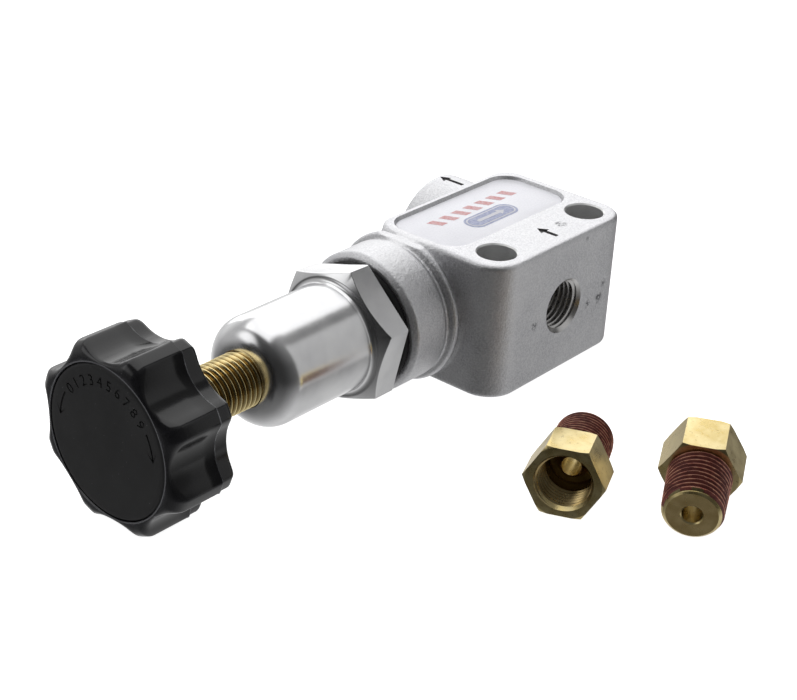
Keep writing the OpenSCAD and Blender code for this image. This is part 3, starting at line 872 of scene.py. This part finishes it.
def knob():
    """The lobed shell: soft edges, a mould line near its back with a small step, and a recessed back."""
    sides = 512
    angle = np.arange(sides) * 2 * math.pi / sides
    outline = knob_radius(angle)
    lobe = np.clip((outline - VALLEY_R) / (TIP_R - VALLEY_R), 0, 1)
    front, back = knob_low[0], knob_high[0]
    part_x = back - PARTING
    front_edge = 0.55 + 1.9 * lobe
    back_edge = 0.7 + 0.7 * lobe
    rows = []
    cap_r = cap_high[2] - AXIS_Z
    ones = np.ones(sides)
    for r, x in ((0.01, front + CAP_SEAT), (cap_r + 0.05, front + CAP_SEAT), (cap_r + 0.05, front + 0.25),
                 (cap_r + 0.12, front + 0.08), (cap_r + 0.16, front)):
        rows.append((x * ones, r * ones))
    for a in np.radians(np.linspace(90, 0, 9)):
        rows.append((front + front_edge * (1 - math.sin(a)), outline - front_edge * (1 - math.cos(a))))
    for x, out in ((part_x - 2.5, 0.0), (part_x - 0.22, 0.0), (part_x - 0.1, 0.1), (part_x + 0.05, 0.1),
                   (part_x + 0.12, -0.2), (part_x + 0.3, -MOULD_STEP)):
        rows.append((x * ones, outline + np.minimum(out, TIP_R - outline)))
    skirt = outline - MOULD_STEP
    for a in np.radians(np.linspace(0, 90, 8)):
        rows.append((back - back_edge * (1 - math.sin(a)), skirt - back_edge * (1 - math.cos(a))))
    screw_r = screw_high[2] - AXIS_Z
    for r, x in ((11.3, back), (11.0, back - 0.3), (10.7, back - BACK_RECESS), (7.8, back - BACK_RECESS),
                 (7.5, back - 0.3), (7.2, back), (screw_r + 0.3, back), (screw_r, back - 0.3),
                 (screw_r, back - INSERT_DEPTH), (0.01, back - INSERT_DEPTH)):
        rows.append((x * ones, r * ones))
    points = np.array([np.stack([x, r * np.cos(angle), r * np.sin(angle)], -1) for x, r in rows])
    faces = grid_faces(len(rows), sides)
    faces += [tuple(range(sides))[::-1], tuple((len(rows) - 1) * sides + j for j in range(sides))]
    shell = outward(solid("knob_shell", points.reshape(-1, 3), faces, KNOB))
    finished(on_axis(shell), "adjuster", "black_plastic", "knob", angle=50)


DIAL_R = 9.95
DIAL_REACH = 51  # degrees from the top to the first and last digits
DIGIT_H = 1.75
ARROW_R = DIAL_R + 0.3
ARROW_START, ARROW_END = 60, 82


def dial_point(radius, clockwise):
    """A place on the dial, as seen from the front, in (y, z) from the axis; clockwise is from the top."""
    a = math.radians(clockwise)
    return -radius * math.sin(a), radius * math.cos(a)


def digit_tool(text, clockwise, depth):
    """A digit drawn out along X, upright on the dial, as a cutting tool."""
    curve = bpy.data.curves.new("digit", "FONT")
    curve.body = text
    curve.size = DIGIT_H / 0.7 * MM
    curve.align_x = "CENTER"
    curve.extrude = depth * MM
    curve.resolution_u = 4
    drawn_text = bpy.data.objects.new("digit", curve)
    bpy.context.scene.collection.objects.link(drawn_text)
    mesh = bpy.data.meshes.new_from_object(drawn_text.evaluated_get(bpy.context.evaluated_depsgraph_get()))
    bpy.data.objects.remove(drawn_text)
    tool = bpy.data.objects.new("digit_tool", mesh)
    bpy.context.scene.collection.objects.link(tool)
    mesh.materials.clear()
    mesh.materials.append(CAP)
    facing = Matrix(((0, 0, -1, 0), (-1, 0, 0, 0), (0, 1, 0, 0), (0, 0, 0, 1)))
    y, z = dial_point(DIAL_R - DIGIT_H / 2, clockwise)
    turn = Matrix.Rotation(math.radians(clockwise), 4, "X")
    return moved(tool, Matrix.Translation((cap_low[0], y, z)) @ turn @ facing)


def curved_arrow(start, end, depth):
    """A thin arc with a barbed head at its end, as a cutting tool on the dial."""
    way = 1 if end > start else -1
    half = 0.16
    barb = 1.05
    outer = [dial_point(ARROW_R + half, a) for a in np.linspace(start, end, 12)]
    inner = [dial_point(ARROW_R - half, a) for a in np.linspace(end, start, 12)]
    barb_out = dial_point(ARROW_R + barb, end - way * 6)
    barb_in = dial_point(ARROW_R - barb, end - way * 6)
    tip = dial_point(ARROW_R, end + way * 3.5)
    outline = outer + [barb_out, tip, barb_in] + inner
    arrow = prism("arrow_tool", outline, -depth, depth, CAP)
    facing = Matrix(((0, 0, 1, 0), (1, 0, 0, 0), (0, 1, 0, 0), (0, 0, 0, 1)))
    return moved(arrow, Matrix.Translation((cap_low[0], 0, 0)) @ facing)


def knob_cap():
    """The face disc with a softened rim and an engraved dial: ten digits between two turning arrows."""
    r = cap_high[2] - AXIS_Z
    front, back = cap_low[0], cap_high[0]
    outline = [(front, 0.01), (front, r - 1.0), (front, r - 0.45), (front + 0.06, r - 0.2),
               (front + 0.2, r - 0.04), (front + 0.45, r), (back, r), (back, 0.01)]
    disc = turned("knob_cap_disc", outline, CAP, 256)
    depth = 0.22
    for i in range(10):
        clockwise = -DIAL_REACH + 2 * DIAL_REACH * i / 9
        combine(disc, digit_tool(str(i), clockwise, depth), solver="EXACT")
    for side in (-1, 1):
        combine(disc, curved_arrow(side * ARROW_START, side * ARROW_END, depth), solver="EXACT")
    finished(on_axis(disc), "adjuster", "black_plastic", "knob_cap", angle=30)


# ---------------------------------------------------------------------------------------------------------
# Loose port adapters

ADAPTER_AF = 11.5
ADAPTER_HEX = 7.5
ADAPTER_THREAD = 9.8
ADAPTER_R = 5.15
ADAPTER_TAPER = math.tan(math.radians(1.79))
SOCKET_R = 4.35
SOCKET_L = 6.2
SOCKET_PITCH = 0.9
ADAPTER_PITCH = 0.94
ADAPTER_TOOTH = 0.55
SOCKET_TOOTH = 0.5
FLARE_ROOM_R = 4.1


def adapter_place(mount):
    """The matrix that puts an adapter, made along X with its hexagon's face at -ADAPTER_HEX, in the frame."""
    middle, out = mount_mm(mount)
    along = Vector(-out).normalized()
    level = Vector((0, 0, 1)).cross(along).normalized()
    turn = Matrix((along, level, along.cross(level))).transposed().to_4x4()
    start = Vector(middle) - along * (SOCKET_L / 2 - ADAPTER_HEX)
    return Matrix.Translation(start) @ turn


def adapter(name, mount, body, node):
    """Chamfered hexagon, flare socket with a tapped wall, and a sealed tapered thread with a bare nose."""
    rim, end = ADAPTER_AF / 2 + 0.3, ADAPTER_THREAD
    hexa = hexagon(name, ADAPTER_AF, -ADAPTER_HEX, 0, ADAPTER_BRASS, rim, rim)
    bevel(hexa, 0.1, 25)

    def wall(x):
        return ADAPTER_R - x * ADAPTER_TAPER

    stud = threaded("stud", 0.2, end, wall, ADAPTER_PITCH, ADAPTER_TOOTH, SEALANT)
    envelope = [(0.1, wall(0)), (end - 0.85, wall(end - 0.85)), (end - 0.3, wall(end) - 0.45),
                (end, wall(end) - 0.8)]
    combine(stud, turned("envelope", envelope, ADAPTER_BRASS), "INTERSECT")
    neck = [(-1, wall(0) - 0.5), (end - 1.2, wall(end) - 0.5), (end - 0.1, wall(end) - 0.85)]
    combine(stud, turned("neck", neck, SEALANT), "UNION")
    stud.data.materials.clear()
    for material in (SEALANT, SEALANT_CREST_HIGHLIGHT, ADAPTER_BRASS, SOCKET_BRASS):
        stud.data.materials.append(material)
    for face in stud.data.polygons:
        x, y, z = face.center / MM
        around = math.atan2(z, y)
        ragged = 0.1 * math.sin(3 * around) + 0.07 * math.sin(7 * around + 1)
        # Faces near the crest take the lighter sealant as a painted highlight; the bare nose and the end face
        # take brass.
        crest = math.hypot(y, z) > wall(x) - 0.07 + 0.03 * math.sin(5 * around + x)
        face.material_index = 3 if x > end - 0.01 else 2 if x > end - 0.6 + ragged else int(crest)
    combine(hexa, stud, "UNION")

    socket = threaded("socket", 0.3, SOCKET_L, SOCKET_R + 0.3, SOCKET_PITCH, SOCKET_TOOTH, SOCKET_BRASS)
    combine(socket, turned("reach", [(0.2, 6), (SOCKET_L, 6)], SOCKET_BRASS), "INTERSECT")
    mouth = [(-1, 5.7), (0, 4.75), (0.75, SOCKET_R - 0.15), (2, SOCKET_R - 0.15)]
    combine(socket, turned("mouth", mouth, ADAPTER_BRASS), "UNION")
    flare_room = [(1, FLARE_ROOM_R), (8.4, FLARE_ROOM_R), (8.6, FLARE_ROOM_R - 0.2)]
    combine(socket, turned("room", flare_room, SOCKET_BRASS), "UNION")
    seat = [(6.2, 1.65), (6.35, 1.9), (8.5, 2.85), (9.2, 2.85)]
    combine(socket, turned("seat", seat, SEAT_BRASS))
    combine(hexa, moved(socket, Matrix.Translation((-ADAPTER_HEX, 0, 0))))
    hole = [(-2, PASSAGE_R), (end - 0.2, PASSAGE_R), (end + 0.8, PASSAGE_R + 1)]
    combine(hexa, turned("hole", hole, ADAPTER_BRASS, 64))
    finished(moved(hexa, adapter_place(mount)), body, "adapter_brass", node, angle=14)


# ---------------------------------------------------------------------------------------------------------
# Pieces inside keep their CAD shape and get their own metals and rubbers


def inner_pieces():
    """New materials for the CAD nodes inside, and a steel copy of the main spring in its CAD shape."""
    steel = plain_metal("spring_steel", (0.42, 0.42, 0.44), (0.55, 0.55, 0.57), 0.28)
    bearing = plain_metal("bearing_steel", (0.6, 0.6, 0.62), (0.7, 0.7, 0.72), 0.12)
    zinc = plain_metal("zinc_steel", (0.5, 0.46, 0.34), (0.62, 0.58, 0.44), 0.3)
    inner_brass = plain_metal("inner_brass", (0.62, 0.45, 0.17), (0.75, 0.58, 0.26), 0.25)
    polymer = white_polymer()
    looks = {
        "screw_clip": steel, "piston_clip": steel, "thrust_ball": bearing,
        "piston": bearing, "spring_seat": zinc, "piston_spring_seat": zinc, "seal_washer": zinc,
        "guide_bushing": inner_brass, "spacer_sleeve": inner_brass, "backup_ring": polymer,
        "bushing_seal": RUBBER, "piston_seal": RUBBER, "metering_seal": RUBBER,
    }
    for node, material in looks.items():
        mesh = frame["nodes"][node].data
        mesh.materials.clear()
        mesh.materials.append(material)
        mesh.shade_smooth()
        mesh.set_sharp_from_angle(angle=math.radians(35))

    coil = bpy.data.objects.new("main_spring_coil", frame["nodes"]["main_spring"].data.copy())
    bpy.context.scene.collection.objects.link(coil)
    coil.data.materials.clear()
    coil.data.materials.append(steel)
    finished(coil, "housing", "spring_steel", "main_spring")
    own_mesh(coil)


# ---------------------------------------------------------------------------------------------------------
# Camera, floor and light

def camera():
    """The photograph's viewpoint: from the knob's side, above and in front of the inlet."""
    turn, lift, roll = math.radians(-50.846), math.radians(27.618), math.radians(3.143)
    back = Vector((math.sin(turn) * math.cos(lift), -math.cos(turn) * math.cos(lift), math.sin(lift)))
    right = Vector((math.cos(turn), math.sin(turn), 0))
    up = back.cross(right)
    rolled_right = math.cos(roll) * right + math.sin(roll) * up
    rolled_up = math.cos(roll) * up - math.sin(roll) * right
    data = bpy.data.cameras.new("camera")
    data.sensor_width = 36
    data.lens = 80.84
    data.clip_start = 0.01
    eye = bpy.data.objects.new("camera", data)
    bpy.context.scene.collection.objects.link(eye)
    eye.matrix_world = Matrix.Translation((-0.23555, -0.1613, 0.1491)) @ Matrix(
        (rolled_right, rolled_up, back)).transposed().to_4x4()
    bpy.context.scene.camera = eye


def floor():
    """A pale table under the valve, which lies on one knob lobe and the block's far lower edge."""
    node = frame["nodes"]["knob"].data
    slope = max(-v.co.z / (BLOCK_HALF * MM - v.co.x) for v in node.vertices)
    size = 8.0  # metres from the middle to each side
    mesh = bpy.data.meshes.new("floor")
    mesh.from_pydata([(x, y, (x - BLOCK_HALF * MM) * slope - 0.00005) for x, y in
                      ((-size, -size), (size, -size), (size, size), (-size, size))], [], [(0, 1, 2, 3)])
    mesh.materials.append(studio_white("studio_floor", 0.95))
    table = bpy.data.objects.new("floor", mesh)
    bpy.context.scene.collection.objects.link(table)
    table.visible_glossy = False


def panel(name, place, size, glow, aim=None):
    """A soft rectangular light that faces aim, or straight down; a white table's glow is 1."""
    data = bpy.data.lights.new(name, "AREA")
    data.shape = "RECTANGLE"
    data.size, data.size_y = size
    data.energy = glow * math.pi * size[0] * size[1]
    lamp = bpy.data.objects.new(name, data)
    bpy.context.scene.collection.objects.link(lamp)
    lamp.location = place
    if aim:
        lamp.rotation_mode = "QUATERNION"
        lamp.rotation_quaternion = (Vector(aim) - Vector(place)).to_track_quat("-Z", "Y")
    lamp.visible_camera = False


def room():
    """A dim room with a lit table, a white sweep behind, and a soft and a small bright window at the left."""
    world = bpy.data.worlds.new("studio")
    bpy.context.scene.world = world
    world.use_nodes = True
    tree = world.node_tree

    def mapped(source, *values):
        """Maps source from the first two values to the last two, clamped."""
        step = tree.nodes.new("ShaderNodeMapRange")
        for name, value in zip(("From Min", "From Max", "To Min", "To Max"), values):
            step.inputs[name].default_value = value
        tree.links.new(source, step.inputs["Value"])
        return step.outputs["Result"]

    way = tree.nodes.new("ShaderNodeTexCoord").outputs["Generated"]
    split = tree.nodes.new("ShaderNodeSeparateXYZ")
    tree.links.new(way, split.inputs[0])
    steps = tree.nodes.new("ShaderNodeValToRGB")
    tree.links.new(mapped(split.outputs["Z"], -1, 1, 0, 1), steps.inputs[0])
    # Grey from straight down (0) over the horizon (0.5) to straight up (1)
    stops = [(0.0, 0.75), (0.14, 0.58), (0.27, 0.34), (0.42, 0.1), (0.7, 0.1), (1.0, 0.3)]
    ramp = steps.color_ramp
    while len(ramp.elements) < len(stops):
        ramp.elements.new(0.5)
    for element, (at, grey) in zip(ramp.elements, stops):
        element.position = at
        element.color = (grey, grey, grey, 1)

    def toward(direction, start, full, glow):
        """A patch of light round a direction, from nothing at the cosine start to glow at full."""
        facing = tree.nodes.new("ShaderNodeVectorMath")
        facing.operation = "DOT_PRODUCT"
        tree.links.new(way, facing.inputs[0])
        facing.inputs[1].default_value = Vector(direction).normalized()
        return mapped(facing.outputs["Value"], start, full, 0, glow)

    def both(operation, a, b):
        step = tree.nodes.new("ShaderNodeMath")
        step.operation = operation
        tree.links.new(a, step.inputs[0])
        tree.links.new(b, step.inputs[1])
        return step.outputs[0]

    side = mapped(split.outputs["X"], -0.6, 0.2, 0.3, 1)
    light = both("MULTIPLY", steps.outputs["Color"], side)
    light = both("ADD", light, toward((0.62, 0.78, -0.1), 0.55, 0.9, 0.6))
    light = both("ADD", light, toward((-0.42, 0.85, 0.3), 0.72, 0.93, 0.45))
    light = both("ADD", light, toward((-0.72, 0.54, 0.43), 0.94, 0.98, 0.9))
    tree.links.new(light, tree.nodes["Background"].inputs["Color"])


def studio():
    """High-key light: a large overhead panel, one behind and a grey card on the inlet's side."""
    room()
    panel("overhead", (0.25, 0.3, 0.65), (1.3, 0.8), 1.15)
    panel("behind", (0.55, 0.65, 0.3), (1.1, 0.55), 1.0, aim=(-0.03, 0, 0.01))
    panel("card", (0.1, -0.11, 0.075), (0.22, 0.25), 0.4, aim=(0.1, 0, 0.075))


camera()
valve_body()
label()
bonnet()
bonnet_seal()
adjuster_screw()
knob()
knob_cap()
adapter("inlet_adapter_brass", "inlet_tube_socket", "inlet_adapter", "inlet_adapter")
adapter("outlet_adapter_brass", "outlet_tube_socket", "outlet_adapter", "outlet_adapter")
inner_pieces()
floor()
studio()
bpy.context.scene.view_settings.view_transform = "Standard"
